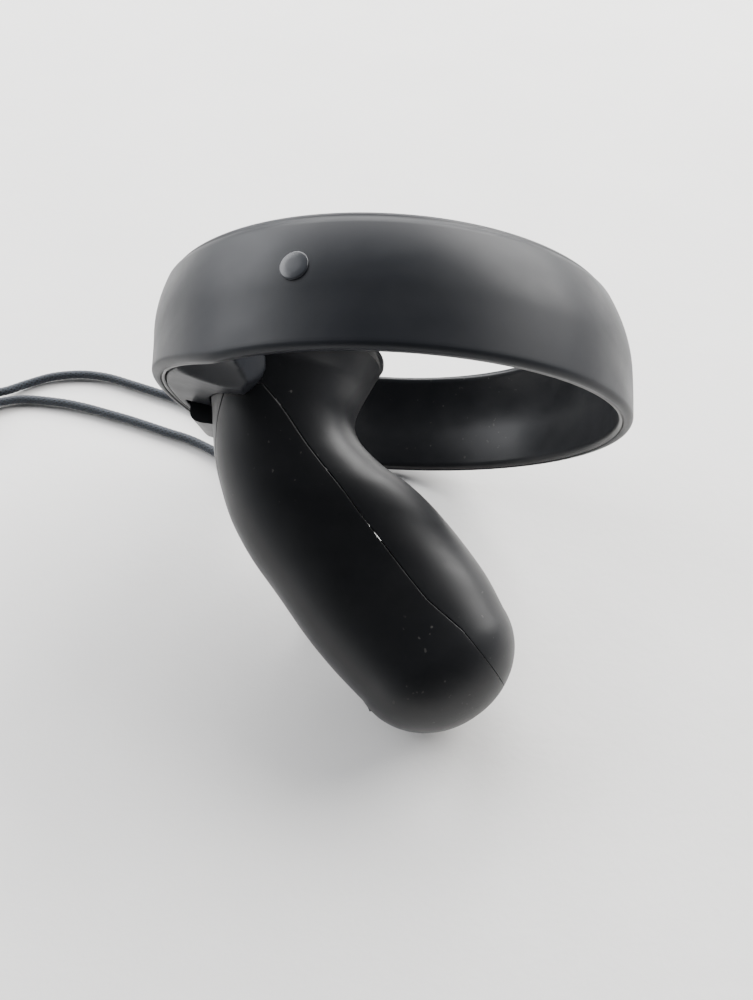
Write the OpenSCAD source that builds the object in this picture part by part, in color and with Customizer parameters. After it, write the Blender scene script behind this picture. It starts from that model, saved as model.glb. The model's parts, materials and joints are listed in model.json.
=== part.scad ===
/* [Ring] */
// Outer radius of the tracking ring at its rear rim
ring_r = 50; // [49:0.5:51]
// Width of the ring band along its axis
ring_w = 24.6; // [24:0.1:25]
// How far the front rim draws in
ring_draw = 3.25; // [2.5:0.25:3.5]
// Thickness of the ring's outer shell
ring_shell_t = 1.2; // [1:0.1:1.3]
// Thickness of the ring's inner liner
ring_liner_t = 1.0; // [0.8:0.1:1.1]
// Height above the rear rim where the band starts to draw in
ring_straight = 10.3; // [9:0.1:12]

/* [Handle] */
// Wall thickness of the handle shells
wall = 2.2; // [2:0.1:2.4]
// Roundness of the handle's section, 2 is an ellipse
section_power = 2.4; // [2.2:0.1:2.6]
// Depth of the rounded end below its last section
end_depth = 15.7; // [15:0.1:16]
// Gap left at each seam between two casings
seam_gap = 0.15; // [0.1:0.05:0.2]

/* [Thumb plate] */
// Thickness of the thumb plate
plate_t = 2; // [1.8:0.1:2.2]
// Radius of the thumbstick's cap
stick_cap_r = 8.2; // [7.8:0.1:8.4]
// Radius of the two main buttons
button_r = 4.3; // [4:0.1:4.5]
// Radius of the menu button
menu_r = 2.4; // [2:0.1:2.8]
// Height of the buttons above the plate
button_h = 1; // [0.8:0.1:1]
// Travel of the buttons
button_travel = 0.8; // [0.6:0.1:0.8]

/* [Battery] */
// Diameter of the AA cell
cell_d = 14.5; // [14:0.1:14.5]
// Length of the AA cell with its nub
cell_l = 50.5; // [49.5:0.1:50.5]

/* [Lanyard] */
// Diameter of the braided cord
cord_d = 2.5; // [2:0.1:2.6]

/* [Hidden] */
$fn = 64;

// ---- Frames ----
// The hold frame has its origin at the centre of the ring's rear rim: X to the right, Y to the
// trigger side, Z along the ring's axis. The part lies on its right side in the row frame.
lean = 27;
roll = 0;
lift = 44.55;
shift_x = 0;
shift_y = 6.35;

module place() {
    translate([shift_x, shift_y, lift])
        rotate([0, roll, 0])
            rotate([lean - 90, 0, 0])
                rotate([0, 0, 90])
                    children();
}

// Thumb plate frame: origin in the middle of the lip, Z out of the plate
plate_origin = [3, 23.1, 17.55];
plate_tilt = 9;

module on_plate_h() {
    translate(plate_origin) rotate([plate_tilt, 0, 0]) children();
}

module on_plate() {
    place() on_plate_h() children();
}

// Cell frame: origin at the cell's lower end, Z up the cell, X square to the cover's seam
cell_origin = [6.3, -12, -51.8];
cell_turn = [-42.8, -6.5, 0];
cell_roll = -26.2;
seam_x = -7.9;

module cell_frame() {
    translate(cell_origin) rotate(cell_turn) rotate([0, 0, cell_roll]) children();
}

// Grip trigger frame: Z up the handle, X out of its right side
grip_origin = [3.9, 13, -17.5];
grip_lean = -36;

module grip_frame() {
    translate(grip_origin) rotate([grip_lean, 0, 0]) children();
}

// ---- Handle body ----
// Sections from the lip to the grip's end: back y and z, front y and z, middle x, half thickness
sections = [
    [2, 14.2, 44.2, 20.9, 3, 21],
    [5.6, 7, 41.5, 12, 2.8, 18.7],
    [7.4, 2.3, 38.6, 3.5, 2.5, 17],
    [7.3, -1.5, 37.5, -4, 2.4, 16.2],
    [5.2, -5, 36.5, -10.5, 2.8, 16],
    [0.5, -9, 34.5, -17, 3.4, 16],
    [-4.8, -12.2, 32, -23, 4, 16],
    [-9.4, -15.8, 27.6, -30, 4.8, 16],
    [-13.8, -20.1, 21.4, -37.6, 5.6, 16],
    [-18.4, -25.2, 15, -45.6, 6.4, 16],
    [-22.8, -30.8, 8.8, -52.2, 7, 16],
    [-26.4, -37, 2.3, -58.1, 7.2, 16]
];
between = 2;
around = 32;
end_steps = 5;
last = len(sections) - 1;

function soft_power(v) = sign(v) * pow(abs(v), 2 / section_power);
function spline(a, b, c, d, t) =
    0.5 * (2 * b + (c - a) * t + (2 * a - 5 * b + 4 * c - d) * t * t
        + (3 * b - a - 3 * c + d) * t * t * t);
function section_at(i, t) =
    spline(sections[max(i - 1, 0)], sections[i], sections[min(i + 1, last)],
        sections[min(i + 2, last)], t);
all_sections = [
    for (i = [0:last - 1], k = [0:between - 1]) section_at(i, k / between),
    sections[last]
];

// One ring of points round a section, drawn in by inset
function section_ring(s, inset, scale = 1, drop = 0) =
    let (
        my = (s[0] + s[2]) / 2, mz = (s[1] + s[3]) / 2,
        hy = (s[2] - s[0]) / 2, hz = (s[3] - s[1]) / 2,
        half = norm([hy, hz]),
        k = (half - inset) / half * scale,
        ny = hz / half, nz = -hy / half
    )
    [
        for (j = [0:around - 1])
            let (u = soft_power(cos(360 * j / around)), v = soft_power(sin(360 * j / around)))
            [
                s[4] + (s[5] - inset) * scale * u,
                my + hy * k * v + ny * drop,
                mz + hz * k * v + nz * drop
            ]
    ];

// The closed solid of head, neck, handle and rounded end, drawn in by inset, raised at the lip
module body_solid(inset = 0, raise = 0) {
    rings = [
        if (raise > 0) section_ring(sections[0], inset, 1, -raise),
        for (s = all_sections) section_ring(s, inset),
        for (a = [1:end_steps])
            section_ring(sections[last], inset, cos(80 * a / end_steps),
                (end_depth - inset) * sin(80 * a / end_steps))
    ];
    n = len(rings);
    points = [for (r = rings) each r];
    faces = [
        [for (j = [around - 1:-1:0]) j],
        for (i = [0:n - 2], j = [0:around - 1])
            let (a = i * around + j, b = i * around + (j + 1) % around)
            [a, b, b + around, a + around],
        [for (j = [0:around - 1]) (n - 1) * around + j]
    ];
    polyhedron(points, faces, convexity = 6);
}

// ---- Ring ----
function band_r(z) = ring_r - ring_draw * pow(max(z - ring_straight, 0) / (ring_w - ring_straight), 2);
band_levels = [for (k = [0:6]) ring_straight + (ring_w - ring_straight) * k / 6];
lip_h = 1.2;
liner_gap = 0.75;
bridge_gap = 0.1;

// The outline of a band between two depths from the outside, from low to high
function band_outline(outer, inner, low, high) = concat(
    [[band_r(low) - outer, low]],
    [for (z = band_levels) if (z > low && z < high) [band_r(z) - outer, z]],
    [[band_r(high) - outer, high], [band_r(high) - inner, high]],
    [for (k = [6:-1:0]) let (z = band_levels[k]) if (z > low && z < high) [band_r(z) - inner, z]],
    [[band_r(low) - inner, low]]
);

// The rear rim lifts towards the trigger side
rim_lift_y = 30;
rim_lift_angle = 16.7;

module below_rim() {
    translate([0, rim_lift_y, 0]) rotate([rim_lift_angle, 0, 0]) translate([-60, 0, -30])
        cube([120, 40, 30]);
}

module ring_outer_shell() {
    color("#3a3d42") place() difference() {
        rotate_extrude() union() {
            polygon(band_outline(0, ring_shell_t, 0, ring_w));
            polygon(band_outline(ring_shell_t / 2, ring_shell_t + liner_gap - bridge_gap, 0, lip_h));
            polygon(band_outline(ring_shell_t / 2, ring_shell_t + liner_gap - bridge_gap,
                ring_w - lip_h, ring_w));
        }
        below_rim();
        badge_recess();
    }
}

liner_low = 0.4;
liner_depth = ring_shell_t + liner_gap;

module ring_inner_liner() {
    color("#26282c") place() difference() {
        rotate_extrude()
            polygon(band_outline(liner_depth, liner_depth + ring_liner_t, liner_low,
                ring_w - liner_low));
        below_rim();
    }
}

// A plain round dot on the left of the band
badge_angle = 160;
badge_z = 14;
badge_r = 2.6;
badge_t = 0.5;

module badge_place() {
    rotate([0, 0, badge_angle]) translate([band_r(badge_z) - 1, 0, badge_z])
        rotate([0, 90, 0]) children();
}

module badge_recess() {
    badge_place() translate([0, 0, 0.4]) cylinder(r = badge_r, h = 4);
}

module ring_badge() {
    color("#565a60") place() badge_place() translate([0, 0, 0.4])
        cylinder(r = badge_r, h = badge_t);
}

// Bridge from the ring's front to the neck, with a finger dish on its left
bridge_top = 22;
bridge_half_angle = 50;
bridge_inner_r = 24;
dish_c = [-26, 33, -8];
dish_r = 13;
arch = [34, 9.4];
arch_r = 9.6;
slot_x = [3.5, 18.9];

module trigger_slot() {
    translate([slot_x[0], 20, -17.6]) cube([slot_x[1] - slot_x[0], 24.9, 30]);
}

// What is left outside a quarter arch, across the whole bridge
module arch_cut() {
    translate([-45, 0, 0]) rotate([90, 0, 90]) linear_extrude(90) difference() {
        translate([arch[0] - 30, arch[1] - 30]) square(30);
        translate(arch) circle(r = arch_r);
    }
}

module ring_bridge() {
    color("#303338") place() difference() {
        rotate([0, 0, 90 - bridge_half_angle])
            rotate_extrude(angle = 2 * bridge_half_angle)
                polygon(concat(
                    [[bridge_inner_r, 0]],
                    [for (z = concat([0], band_levels)) if (z < bridge_top)
                        [band_r(z) - liner_depth - ring_liner_t - bridge_gap, z]],
                    [[band_r(bridge_top) - liner_depth - ring_liner_t - bridge_gap, bridge_top],
                        [bridge_inner_r, bridge_top]]
                ));
        below_rim();
        body_solid(-seam_gap, 6);
        translate(dish_c) sphere(r = dish_r);
        arch_cut();
        translate([-27, 13, -1]) cylinder(r = 16.5, h = 30);
        translate([33, 13, -1]) cylinder(r = 16, h = 30);
        trigger_slot();
    }
}

// Flexible circuit and emitters between shell and liner
flex_r = 48.15;
flex_z = [7, 10];
led_count = 15;
led_step = 21;

module ring_flex() {
    color("#b8742c") place() rotate([0, 0, 120]) rotate_extrude(angle = 300)
        translate([flex_r, flex_z[0]]) square([0.15, flex_z[1] - flex_z[0]]);
}

module ir_leds() {
    color("#20222a") place() for (k = [0:led_count - 1])
        rotate([0, 0, 123 + led_step * k]) translate([flex_r + 0.17, -0.8, 7.8])
            cube([0.4, 1.6, 1]);
}

// ---- Casings ----
cover_top_y = 31;
cover_top_z = 4;
cover_top_angle = 6;
end_seam_z = 4.2;
end_turn = 30.6;
end_back = -9.8;
end_right = 6.5;
eyelet_s = 24.5;
eyelet_turn = 20;
eyelet_r = 4.2;
eyelet_t = 2;
eyelet_reach = 17.2;

// Left of the seam plane and below the head, and most of the rounded end
module cover_zone(gap) {
    intersection() {
        cell_frame() union() {
            translate([seam_x - 60 - gap, -60, -60]) cube([60, 120, 140]);
            rotate([0, 0, end_turn]) translate([-60, end_back + gap, -60])
                cube([60 + end_right - gap, 80, 60 + end_seam_z - gap]);
        }
        translate([0, cover_top_y, cover_top_z - gap]) rotate([cover_top_angle, 0, 0])
            translate([-60, -90, -100]) cube([120, 130, 100]);
    }
}

// Z out of the handle's right side, at the lanyard's eyelet
module eyelet_frame() {
    cell_frame() translate([0, 0, eyelet_s]) rotate([0, 0, end_turn + eyelet_turn])
        translate([eyelet_reach, 0, 0]) rotate([0, 90, 0]) children();
}

module eyelet_recess() {
    eyelet_frame() translate([0, 0, -eyelet_t]) cylinder(r = eyelet_r, h = 8);
}

module grip_opening(gap) {
    grip_frame() translate([7.5, -7 - gap, -11 - gap])
        cube([16, 19 + 2 * gap, 20 + 2 * gap]);
}

module main_shell() {
    color("#2b2d31") place() difference() {
        body_solid();
        difference() {
            body_solid(wall, 4);
            eyelet_frame() translate([0, 0, -3.6]) cylinder(r = eyelet_r + 0.8, h = 12);
        }
        cover_zone(0);
        trigger_slot();
        grip_opening(0.5);
        on_plate_h() translate([0, 0, -plate_t - 0.05]) linear_extrude(8)
            polygon(round_outline(plate_rx + 0.1, plate_ry + 0.1, 32));
        eyelet_recess();
        eyelet_frame() for (s = [-1, 1]) translate([0, s * 1.9, -7]) cylinder(r = 1.4, h = 9);
    }
}

module battery_cover() {
    color("#17181b") place() intersection() {
        difference() {
            body_solid();
            body_solid(wall);
        }
        cover_zone(seam_gap);
    }
}

// ---- Thumb plate ----
stick_at = [4.5, -7];
upper_at = [-7, 10];
lower_at = [-10.5, -1.5];
menu_at = [8, 11.5];
plate_rx = 21 - wall - 0.1;
plate_ry = 21.36 - wall - 0.1;
stick_hole_r = 8.6;

function round_outline(rx, ry, n) = [
    for (j = [0:n - 1]) [rx * soft_power(cos(360 * j / n)), ry * soft_power(sin(360 * j / n))]
];

module face_plate() {
    color("#1c1d20") on_plate() difference() {
        translate([0, 0, -plate_t]) linear_extrude(plate_t)
            polygon(round_outline(plate_rx, plate_ry, 32));
        translate([stick_at[0], stick_at[1], -5]) cylinder(r = stick_hole_r, h = 10);
        translate([upper_at[0], upper_at[1], -5]) cylinder(r = button_r + 0.2, h = 10);
        translate([lower_at[0], lower_at[1], -5]) cylinder(r = button_r + 0.2, h = 10);
        translate([menu_at[0], menu_at[1], -5]) cylinder(r = menu_r + 0.2, h = 10);
    }
}

pivot_z = -8.5;
collar_r = 6.4;

module at_stick(z = 0) {
    on_plate() translate([stick_at[0], stick_at[1], z]) children();
}

module stick_collar() {
    color("#141518") at_stick() rotate_extrude() polygon([
        [collar_r, -3.4], [stick_hole_r, -3.4], [stick_hole_r + 0.9, -2.9],
        [stick_hole_r + 0.9, -plate_t], [stick_hole_r, -plate_t], [stick_hole_r, -0.6],
        [stick_hole_r - 0.8, -0.6], [collar_r, -2.6]
    ]);
}

cap_low = 4.8;
cap_h = 3;
stem_r = 2.2;
shaft_r = 1.5;

module thumbstick_cap() {
    color("#1a1b1e") at_stick() difference() {
        rotate_extrude() polygon([
            [0, pivot_z + 8], [stem_r, pivot_z + 8], [stem_r, cap_low - 0.6],
            [stick_cap_r - 1.2, cap_low], [stick_cap_r, cap_low + 0.7],
            [stick_cap_r, cap_low + 1.9], [stick_cap_r - 1, cap_low + cap_h],
            [stick_cap_r - 2, cap_low + cap_h - 0.2], [4, cap_low + cap_h - 1],
            [0, cap_low + cap_h - 1.3]
        ]);
        translate([0, 0, -2]) cylinder(r = shaft_r, h = 4.5);
    }
}

dome_r = 7.8;
dome_t = 0.7;

module stick_dome() {
    color("#101113") at_stick(pivot_z) difference() {
        intersection() {
            sphere(r = dome_r);
            translate([0, 0, 5]) cylinder(r = dome_r, h = 10);
        }
        sphere(r = dome_r - dome_t);
        cylinder(r = shaft_r, h = 20);
    }
}

module stick_shaft() {
    color("#b9bcc2") at_stick(pivot_z) translate([0, 0, -1.2]) cylinder(r = shaft_r, h = 12.2);
}

rocker_r = 2.6;
yoke_r = [3, 4.2];
yoke_h = 2.4;

module stick_rocker() {
    color("#8d9096") at_stick(pivot_z) difference() {
        union() {
            intersection() {
                sphere(r = rocker_r);
                cylinder(r = rocker_r, h = 3.6, center = true);
            }
            rotate([0, 90, 0]) cylinder(r = 0.6, h = 2 * 3.9, center = true);
        }
        cylinder(r = shaft_r + 0.05, h = 10, center = true);
    }
}

module stick_yoke() {
    color("#7b7e84") at_stick(pivot_z) difference() {
        union() {
            difference() {
                cylinder(r = yoke_r[1], h = yoke_h, center = true);
                cylinder(r = yoke_r[0], h = yoke_h + 1, center = true);
            }
            for (s = [-1, 1]) translate([0, s * 4.1, 0]) rotate([-90 * s, 0, 0])
                cylinder(r = 0.6, h = 1.1);
        }
        rotate([0, 90, 0]) cylinder(r = 0.65, h = 12, center = true);
    }
}

housing_w = 11;
housing_low = -13;
housing_top = -7.3;

module stick_housing() {
    color("#3c4046") at_stick() difference() {
        translate([-housing_w / 2, -housing_w / 2, housing_low])
            cube([housing_w, housing_w, housing_top - housing_low]);
        translate([0, 0, -11.4]) cylinder(r = 4.6, h = 10);
        translate([0, 0, pivot_z]) rotate([90, 0, 0]) cylinder(r = 0.65, h = 10.6, center = true);
    }
}

// A button: cap, and a flange under the plate that keeps it in
module button_cap(r) {
    translate([0, 0, -3.2]) cylinder(r = r, h = 3.2 + button_h - 0.3);
    translate([0, 0, button_h - 0.3]) cylinder(r1 = r, r2 = r - 0.3, h = 0.3);
    translate([0, 0, -3.2]) cylinder(r = r + 0.8, h = 1.1);
}

module button_upper() {
    color("#222327") on_plate() translate([upper_at[0], upper_at[1], 0]) button_cap(button_r);
}

module button_lower() {
    color("#222327") on_plate() translate([lower_at[0], lower_at[1], 0]) button_cap(button_r);
}

module menu_button() {
    color("#222327") on_plate() translate([menu_at[0], menu_at[1], 0]) button_cap(menu_r);
}

board_top = -5.5;
board_t = 1.4;

module button_mat() {
    color("#c9c6bd") on_plate() difference() {
        union() {
            translate([-4, 6, board_top]) cylinder(r = 9.5, h = 0.5);
            translate([lower_at[0], lower_at[1], board_top]) cylinder(r = 4.6, h = 0.5);
            for (p = [upper_at, lower_at, menu_at]) translate([p[0], p[1], board_top])
                cylinder(r1 = 2.2, r2 = 1.5, h = 1.4);
            translate([menu_at[0], menu_at[1], board_top]) cylinder(r = 3.4, h = 0.5);
        }
        translate([stick_at[0], stick_at[1], -8]) cylinder(r = 8.2, h = 6);
        translate([post_at[1][0], post_at[1][1], -8]) cylinder(r = 1.6, h = 6);
    }
}

post_at = [[-8.5, -9.5], [-9, 6]];
post_r = 1.5;
screw_r = 0.7;

module main_board() {
    color("#1f5a3c") on_plate() difference() {
        translate([0, 0.8, board_top - board_t]) cylinder(r = 14.6, h = board_t);
        translate([stick_at[0], stick_at[1], -9]) cylinder(r = 8.2, h = 6);
        for (p = post_at) translate([p[0], p[1], -9]) cylinder(r = screw_r + 0.05, h = 6);
    }
}

// ---- Chassis ----
deck_top = -13;
deck_t = 2;
trough_r = [cell_d / 2 + 0.2, cell_d / 2 + 1.2];
pivot_y = 30;
pivot_h = 8.5;
ear_x = [[2.4, 3.3], [15, 16]];
pin_r = 1;
hub_x = [6.4, 14.6];
grip_pin_at = [11, -5.5];
grip_pin_r = 0.8;
grip_hub_z = [-8, 0];

module half_trough(low, high, inner, outer) {
    translate([0, 0, low]) rotate([0, 0, -90]) rotate_extrude(angle = 180)
        translate([inner, 0]) square([outer - inner, high - low]);
}

module post(p) {
    translate([p[0], p[1], deck_top - 1])
        cylinder(r = post_r, h = board_top - board_t - deck_top + 1);
}

// Ear that holds the index trigger's pin, between two values of x
module pivot_ear(low, high) {
    translate([low, 0, 0]) rotate([90, 0, 90]) linear_extrude(high - low)
        polygon([[24.3, 2.4], [27, 2.2], [32, 7], [30, 10.9], [28, 9.5], [24.3, 5]]);
    translate([low, pivot_y, pivot_h]) rotate([0, 90, 0]) cylinder(r = 2.4, h = high - low);
}

// Ear that holds one end of the grip trigger's pin
module grip_ear(z) {
    translate([0, 0, z]) linear_extrude(1.3)
        polygon([[9.5, -7], [12.1, -7], [12.1, -4.2], [10.5, -3.2], [5.2, 2.4], [1.4, -1.4]]);
}

module chassis() {
    color("#34373c") place() difference() {
        union() {
            cell_frame() {
                half_trough(-3.2, cell_l + 1.9, trough_r[0], trough_r[1]);
                half_trough(-3.2, -2.4, 0.01, trough_r[1]);
                half_trough(cell_l + 0.5, cell_l + 1.9, 0.01, trough_r[1]);
            }
            translate([-4.5, 15, -15]) cube([6.5, 8, 19.5]);
            on_plate_h() {
                translate([-8, -9, deck_top - deck_t]) cube([19, 11, deck_t]);
                translate([-10, -11, deck_top - deck_t]) cube([6, 5, deck_t]);
                translate([-10.5, -2, deck_top - deck_t]) cube([4, 9.5, deck_t]);
                translate([10, -1, deck_top - deck_t]) cube([3, 3, deck_t]);
                for (p = post_at) post(p);
            }
            for (e = ear_x) pivot_ear(e[0], e[1]);
            grip_frame() for (z = [grip_hub_z[0] - 1.5, grip_hub_z[1] + 2.1]) grip_ear(z);
        }
        translate([0, pivot_y, pivot_h]) rotate([0, 90, 0]) cylinder(r = pin_r, h = 40, center = true);
        grip_frame() translate([grip_pin_at[0], grip_pin_at[1], -30])
            cylinder(r = grip_pin_r, h = 60);
        cell_frame() translate([0, 0, -2.4]) cylinder(r = trough_r[0], h = cell_l + 2.9);
        on_plate_h() for (p = post_at) translate([p[0], p[1], -10]) cylinder(r = screw_r + 0.05, h = 6);
    }
}

// ---- Index trigger ----
module index_trigger() {
    color("#1e2023") place() difference() {
        intersection() {
            cylinder(r = trigger_reach, h = 60, center = true);
            trigger_block();
        }
        translate([0, pivot_y, pivot_h]) rotate([0, 90, 0])
            cylinder(r = pin_r + 0.05, h = 60, center = true);
        magnet_place() cylinder(r = 1.5, h = 1.2);
    }
}

trigger_reach = 46.4;

module trigger_block() {
    translate([slot_x[0] + 0.4, 0, 0]) rotate([90, 0, 90])
        linear_extrude(slot_x[1] - slot_x[0] - 0.8) trigger_side();
    translate([hub_x[0], pivot_y, pivot_h]) rotate([0, 90, 0])
        cylinder(r = 2.3, h = hub_x[1] - hub_x[0]);
    translate([hub_x[0], 0, 0]) rotate([90, 0, 90]) linear_extrude(hub_x[1] - hub_x[0])
        polygon([[29.5, 6.3], [31, 10.5], [37.5, 8.2], [38, 0], [34.2, 0]]);
}

// Side view of the paddle: y to the front, z up
module trigger_side() {
    polygon([
        [36, 8.4], [39, 8.2], [42.2, 6.4], [43.8, 3.6], [44, 1.4], [43.2, -0.2], [41.4, -0.8],
        [38.6, -0.9], [37.2, -1.6], [36.8, -4], [36, -9], [35.2, -12.2], [34, -12.8], [33.4, -11],
        [34, -6], [34, 0], [34, 4]
    ]);
}

module magnet_place() {
    translate([11, 33.8, -8]) rotate([-90, 0, 0]) children();
}

module trigger_magnet() {
    color("#a9adb3") place() magnet_place() cylinder(r = 1.5, h = 1.2);
}

module trigger_pin() {
    color("#c3c6cb") place() translate([ear_x[0][0], pivot_y, pivot_h]) rotate([0, 90, 0])
        cylinder(r = pin_r, h = ear_x[1][1] - ear_x[0][0]);
}

// A spring as a stack of coils joined by a leg
module coil_stack(mean_r, wire_r, count, pitch) {
    for (k = [0:count - 1]) translate([0, 0, wire_r + k * pitch]) rotate_extrude()
        translate([mean_r, 0]) circle(r = wire_r, $fn = 16);
    translate([mean_r, 0, wire_r]) cylinder(r = wire_r * 0.7, h = pitch * (count - 1), $fn = 16);
}

module trigger_spring() {
    color("#9a9da2") place() translate([ear_x[0][1] + 0.1, pivot_y, pivot_h]) rotate([0, 90, 0])
        coil_stack(1.6, 0.35, 4, 0.68);
}

// ---- Grip trigger ----
module grip_trigger() {
    color("#1e2023") place() difference() {
        union() {
            intersection() {
                difference() {
                    body_solid(-0.9);
                    body_solid(1.4);
                }
                grip_opening(0);
            }
            grip_frame() {
                translate([10.2, grip_pin_at[1] - 1.2, grip_hub_z[0]])
                    cube([4.4, 2.4, grip_hub_z[1] - grip_hub_z[0]]);
                translate([12, grip_pin_at[1], -7]) cube([2.8, 11.5, 7]);
                translate([grip_pin_at[0], grip_pin_at[1], grip_hub_z[0]])
                    cylinder(r = 1.7, h = grip_hub_z[1] - grip_hub_z[0]);
            }
        }
        grip_frame() translate([grip_pin_at[0], grip_pin_at[1], -30])
            cylinder(r = grip_pin_r + 0.05, h = 60);
        grip_magnet_place() cylinder(r = 1.5, h = 1);
    }
}

module grip_magnet_place() {
    grip_frame() translate([12, 4, -3.5]) rotate([0, 90, 0]) children();
}

module grip_magnet() {
    color("#a9adb3") place() grip_magnet_place() cylinder(r = 1.5, h = 1);
}

module grip_pin() {
    color("#c3c6cb") place() grip_frame()
        translate([grip_pin_at[0], grip_pin_at[1], grip_hub_z[0] - 1.5])
            cylinder(r = grip_pin_r, h = grip_hub_z[1] - grip_hub_z[0] + 4.9);
}

module grip_spring() {
    color("#9a9da2") place() grip_frame()
        translate([grip_pin_at[0], grip_pin_at[1], grip_hub_z[1] + 0.1])
            coil_stack(1.1, 0.22, 3, 0.5);
}

// ---- Power ----
nub_h = 1.2;

module aa_battery() {
    color("#2f6b3a") place() cell_frame() {
        cylinder(d = cell_d - 0.1, h = cell_l - nub_h);
        translate([0, 0, cell_l - nub_h]) cylinder(r = 2.75, h = nub_h);
    }
}

module battery_spring() {
    color("#b5b8bd") place() cell_frame() translate([0, 0, -2.4]) {
        for (k = [0:2]) translate([0, 0, 0.35 + k * 0.85]) rotate_extrude()
            translate([3.6 - 0.7 * k, 0]) circle(r = 0.35, $fn = 16);
        translate([3.2, 0, 0.35]) rotate([0, -40, 0]) cylinder(r = 0.25, h = 2, $fn = 16);
    }
}

module battery_contact() {
    color("#b5b8bd") place() cell_frame() translate([-4, -4, cell_l + 0.05]) cube([8, 8, 0.4]);
}

module haptic_motor() {
    color("#9fa3a9") place() translate([-1, -4.5, -23.6]) rotate([0, 90, 0]) cylinder(r = 4.2, h = 11);
}

module antenna() {
    color("#c58b3f") on_plate() translate([-4, 11, board_top - board_t - 2.2]) cube([9, 0.4, 2.2]);
}

module screws() {
    color("#6b6e73") on_plate() for (p = post_at) translate([p[0], p[1], board_top]) difference() {
        union() {
            cylinder(r = 1.3, h = 0.9);
            translate([0, 0, -4]) cylinder(r = screw_r, h = 4.2);
        }
        translate([0, 0, 0.4]) cylinder(r = 0.6, h = 1, $fn = 6);
    }
}

// ---- Lanyard ----
module lanyard_eyelet() {
    color("#121315") place() eyelet_frame() translate([0, 0, -eyelet_t]) difference() {
        cylinder(r = eyelet_r - 0.05, h = eyelet_t);
        for (s = [-1, 1]) translate([0, s * 1.9, -1]) cylinder(r = 1.35, h = 4);
    }
}

// The lanyard is one loop that lies on the surface: out of the eyelet, round, and back into it
cord_z = 1.3;
lock_z = 3.2;
lock_at = [-122, 37, lock_z];
cord_route = [
    [-7.7, -23.1, 12.4], [-8.6, -22.3, 9.7], [-9.8, -21.2, 6.1], [-11.5, -19.2, 3],
    [-14.5, -15.5, cord_z], [-19, -8.5, cord_z], [-24, 0, cord_z], [-29.5, 9, cord_z],
    [-36, 19, cord_z], [-43, 29, cord_z], [-51, 37.5, cord_z], [-59.5, 42.3, cord_z],
    [-67, 45, cord_z], [-75, 47.6, cord_z], [-82.5, 49.8, cord_z], [-90, 50.4, cord_z],
    [-98, 48.9, cord_z], [-104.5, 45.6, cord_z], [-110, 41.6, 1.9], [-115.5, 38.9, lock_z],
    [-122, 38.35, lock_z], [-128.5, 38.4, lock_z], [-134, 39.6, 1.9], [-140, 42.5, cord_z],
    [-148, 46, cord_z], [-157, 48, cord_z], [-166, 47, cord_z], [-172.5, 42.5, cord_z],
    [-175, 37, cord_z], [-172.5, 31.5, cord_z], [-166, 27, cord_z], [-157, 26, cord_z],
    [-148, 28, cord_z], [-140, 31.5, cord_z], [-134, 34.4, 1.9], [-128.5, 35.6, lock_z],
    [-122, 35.65, lock_z], [-115.5, 35.9, lock_z], [-110.5, 37.4, 1.9], [-104, 39.6, cord_z],
    [-94, 39.2, cord_z], [-86.7, 38, cord_z], [-79, 36, cord_z], [-71.6, 33.9, cord_z],
    [-61.6, 30.6, cord_z], [-54.3, 28.2, cord_z], [-47, 24.4, cord_z], [-41, 19.3, cord_z],
    [-37, 12.5, cord_z], [-30.5, 5, cord_z], [-25.5, -4, cord_z], [-21, -12, cord_z],
    [-16.8, -18.8, cord_z], [-14, -22.2, 3], [-12.3, -24.1, 6.1], [-11.1, -25.2, 9.7],
    [-10.2, -26, 12.4]
];
cord_sides = 8;

function unit(v) = v / norm(v);
function cord_ring(i) =
    let (
        end = len(cord_route) - 1,
        along = unit(cord_route[min(i + 1, end)] - cord_route[max(i - 1, 0)]),
        side = unit(cross([0, 0, 1], along)),
        up = cross(along, side)
    )
    [
        for (j = [0:cord_sides - 1])
            let (a = 360 * (j + 0.5) / cord_sides)
            cord_route[i] + cord_d / 2 * (cos(a) * side + sin(a) * up)
    ];

module lanyard_cord() {
    n = len(cord_route);
    points = [for (i = [0:n - 1]) each cord_ring(i)];
    faces = [
        [for (j = [0:cord_sides - 1]) j],
        for (i = [0:n - 2], j = [0:cord_sides - 1])
            let (a = i * cord_sides + j, b = i * cord_sides + (j + 1) % cord_sides)
            [a, a + cord_sides, b + cord_sides, b],
        [for (j = [cord_sides - 1:-1:0]) (n - 1) * cord_sides + j]
    ];
    color("#2c3440") translate([shift_x, shift_y, 0]) polyhedron(points, faces, convexity = 8);
}

// ---- Cord lock: the loop's two strands run through it along X, its plunger moves along Y ----
lock_r = 5.2;
lock_back = -8;
lock_front = 5.5;
plunger_r = 2.3;
plunger_end = -4.2;
plunger_head = [7.8, 10];
plunger_travel = 1.2;
strand_slot = [6, 3];

module at_lock() {
    translate([shift_x, shift_y, 0]) translate(lock_at) children();
}

module lock_bar(r, low, high) {
    translate([0, high, 0]) rotate([90, 0, 0]) cylinder(r = r, h = high - low);
}

module cord_lock_body() {
    color("#141518") at_lock() difference() {
        intersection() {
            lock_bar(lock_r, lock_back, lock_front);
            cube([30, 40, 2 * lock_z], center = true);
        }
        cube([30, strand_slot[0], strand_slot[1]], center = true);
        lock_bar(plunger_r + 0.1, lock_back + 1.2, lock_front + 1);
    }
}

module cord_lock_plunger() {
    color("#22242a") at_lock() difference() {
        union() {
            lock_bar(plunger_r, plunger_end, plunger_head[0] + 0.5);
            lock_bar(lock_z - 0.2, plunger_head[0], plunger_head[1]);
        }
        translate([-5, -strand_slot[0] / 2, -strand_slot[1] / 2])
            cube([10, strand_slot[0] + plunger_travel + 0.4, strand_slot[1]]);
    }
}

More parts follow.
